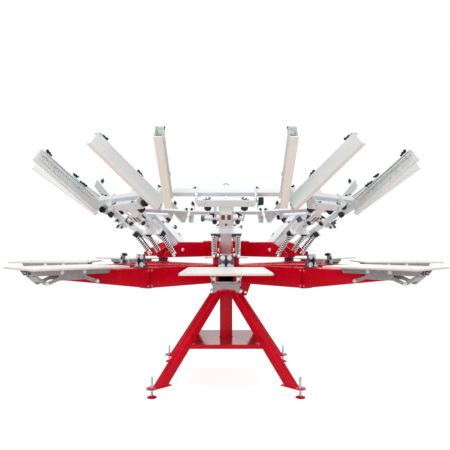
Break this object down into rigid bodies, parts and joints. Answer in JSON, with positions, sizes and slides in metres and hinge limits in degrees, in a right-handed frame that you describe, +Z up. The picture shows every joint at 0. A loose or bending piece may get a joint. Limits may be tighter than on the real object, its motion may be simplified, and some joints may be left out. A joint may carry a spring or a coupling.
{
  "type": "manual rotary screen printing press",
  "caption": "Floor-standing manual carousel screen press: braced stand, rotating pallet arms below and lifting sprung print heads with side clamps above.",
  "frame": {"origin": "on the floor under the centre shaft, at the bottom centre of the bounding box", "axes": "+Z up, -Y the front, with the first station's pallet and print head along -Y"},
  "size_m": [3.048, 3.048, 1.5581],
  "materials": {
    "red_paint": "gloss red enamel",
    "dark_red_paint": "gloss dark red enamel",
    "zinc_steel": "bright zinc plate",
    "bright_steel": "turned steel",
    "spring_steel": "zinc plated wire",
    "folded_steel": "satin plated sheet",
    "galvanised_steel": "blue-grey galvanised",
    "white_plastic": "smooth white",
    "white_laminate_board": "white laminate faces, pale edges",
    "white_paint": "satin white powder coat",
    "clamp_aluminium": "satin mill aluminium",
    "black_plastic": "moulded black"
  },
  "bodies": {
    "stand": {"foot_pads": "red_paint", "levelling_screws": "zinc_steel", "foot_plates": "red_paint", "legs": "red_paint", "shelf_frame": "red_paint", "shelf_panel": "red_paint", "column": "red_paint", "head_flange": "red_paint", "centre_shaft": "bright_steel", "stop_bracket": "dark_red_paint"},
    "pallet_carousel": {"lower_hub": "red_paint", "arm_roots": "red_paint", "arm_beams": "red_paint", "arm_joint_bolts": "zinc_steel", "pallet_packers": "zinc_steel", "pallet_brackets": "folded_steel", "pallet_saddles": "folded_steel", "pallet_bolts": "zinc_steel", "pallet_boards": "white_laminate_board", "registration_gates": "galvanised_steel", "registration_rollers": "white_plastic", "registration_levers": "black_plastic"},
    "head_carousel": {"upper_hub": "red_paint", "head_cheeks": "red_paint", "pivot_bolts": "zinc_steel", "spring_bolts": "zinc_steel", "head_springs": "spring_steel"},
    "head_1": {"head_1_arm": "white_paint", "head_1_yoke": "white_paint", "head_1_crossbar": "white_paint", "head_1_registration_bar": "white_paint", "head_1_knobs": "black_plastic"},
    "head_1_left_clamp": {"head_1_clamp_left": "clamp_aluminium", "head_1_wing_screws_left": "black_plastic"},
    "head_1_right_clamp": {"head_1_clamp_right": "clamp_aluminium", "head_1_wing_screws_right": "black_plastic"},
    "head_1_left_screw": {"head_1_micro_screw_left": "black_plastic"},
    "head_1_right_screw": {"head_1_micro_screw_right": "black_plastic"},
    "head_1_side_screw": {"head_1_side_knob": "black_plastic"},
    "head_2": {"head_2_frame": "white_paint", "head_2_clamps": "clamp_aluminium", "head_2_knobs": "black_plastic"},
    "head_3": {"head_3_frame": "white_paint", "head_3_clamps": "clamp_aluminium", "head_3_knobs": "black_plastic"},
    "head_4": {"head_4_frame": "white_paint", "head_4_clamps": "clamp_aluminium", "head_4_knobs": "black_plastic"},
    "head_5": {"head_5_frame": "white_paint", "head_5_clamps": "clamp_aluminium", "head_5_knobs": "black_plastic"},
    "head_6": {"head_6_frame": "white_paint", "head_6_clamps": "clamp_aluminium", "head_6_knobs": "black_plastic"},
    "head_7": {"head_7_frame": "white_paint", "head_7_clamps": "clamp_aluminium", "head_7_knobs": "black_plastic"},
    "head_8": {"head_8_frame": "white_paint", "head_8_clamps": "clamp_aluminium", "head_8_knobs": "black_plastic"}
  },
  "joints": [
    {"name": "pallet_carousel_spin", "type": "hinge", "parent": "stand", "child": "pallet_carousel", "pos_m": [0, 0, 0.77], "axis": [0, 0, 1], "continuous": true},
    {"name": "head_carousel_spin", "type": "hinge", "parent": "stand", "child": "head_carousel", "pos_m": [0, 0, 0.95], "axis": [0, 0, 1], "continuous": true},
    {"name": "head_1_lift", "type": "hinge", "parent": "head_carousel", "child": "head_1", "pos_m": [0, -0.454, 0.946], "axis": [1, 0, 0], "range_deg": [0, 36.4], "stiffness_Nm_per_rad": 120, "springref_deg": -34.38, "deforming": ["head_springs"]},
    {"name": "head_2_lift", "type": "hinge", "parent": "head_carousel", "child": "head_2", "pos_m": [0.32103, -0.32103, 0.946], "axis": [0.7071, 0.7071, 0], "range_deg": [0, 36.4], "stiffness_Nm_per_rad": 120, "springref_deg": -34.38, "deforming": ["head_springs"]},
    {"name": "head_3_lift", "type": "hinge", "parent": "head_carousel", "child": "head_3", "pos_m": [0.454, 0, 0.946], "axis": [0, 1, 0], "range_deg": [0, 36.4], "stiffness_Nm_per_rad": 120, "springref_deg": -34.38, "deforming": ["head_springs"]},
    {"name": "head_4_lift", "type": "hinge", "parent": "head_carousel", "child": "head_4", "pos_m": [0.32103, 0.32103, 0.946], "axis": [-0.7071, 0.7071, 0], "range_deg": [0, 36.4], "stiffness_Nm_per_rad": 120, "springref_deg": -34.38, "deforming": ["head_springs"]},
    {"name": "head_5_lift", "type": "hinge", "parent": "head_carousel", "child": "head_5", "pos_m": [0, 0.454, 0.946], "axis": [-1, 0, 0], "range_deg": [0, 36.4], "stiffness_Nm_per_rad": 120, "springref_deg": -34.38, "deforming": ["head_springs"]},
    {"name": "head_6_lift", "type": "hinge", "parent": "head_carousel", "child": "head_6", "pos_m": [-0.32103, 0.32103, 0.946], "axis": [-0.7071, -0.7071, 0], "range_deg": [0, 36.4], "stiffness_Nm_per_rad": 120, "springref_deg": -34.38, "deforming": ["head_springs"]},
    {"name": "head_7_lift", "type": "hinge", "parent": "head_carousel", "child": "head_7", "pos_m": [-0.454, 0, 0.946], "axis": [0, -1, 0], "range_deg": [0, 36.4], "stiffness_Nm_per_rad": 120, "springref_deg": -34.38, "deforming": ["head_springs"]},
    {"name": "head_8_lift", "type": "hinge", "parent": "head_carousel", "child": "head_8", "pos_m": [-0.32103, -0.32103, 0.946], "axis": [0.7071, -0.7071, 0], "range_deg": [0, 36.4], "stiffness_Nm_per_rad": 120, "springref_deg": -34.38, "deforming": ["head_springs"]},
    {"name": "head_1_left_clamp_slide", "type": "slide", "parent": "head_1", "child": "head_1_left_clamp", "axis": [1, 0, 0], "range_m": [0, 0.08]},
    {"name": "head_1_right_clamp_slide", "type": "slide", "parent": "head_1", "child": "head_1_right_clamp", "axis": [-1, 0, 0], "range_m": [0, 0.08]},
    {"name": "head_1_left_screw_spin", "type": "hinge", "parent": "head_1", "child": "head_1_left_screw", "pos_m": [-0.104, -0.84417, 1.20881], "axis": [0, -0.8049, 0.5934], "continuous": true},
    {"name": "head_1_right_screw_spin", "type": "hinge", "parent": "head_1", "child": "head_1_right_screw", "pos_m": [0.104, -0.84417, 1.20881], "axis": [0, -0.8049, 0.5934], "continuous": true},
    {"name": "head_1_side_screw_spin", "type": "hinge", "parent": "head_1", "child": "head_1_side_screw", "pos_m": [0.18, -0.8659, 1.22483], "axis": [1, 0, 0], "continuous": true}
  ]
}
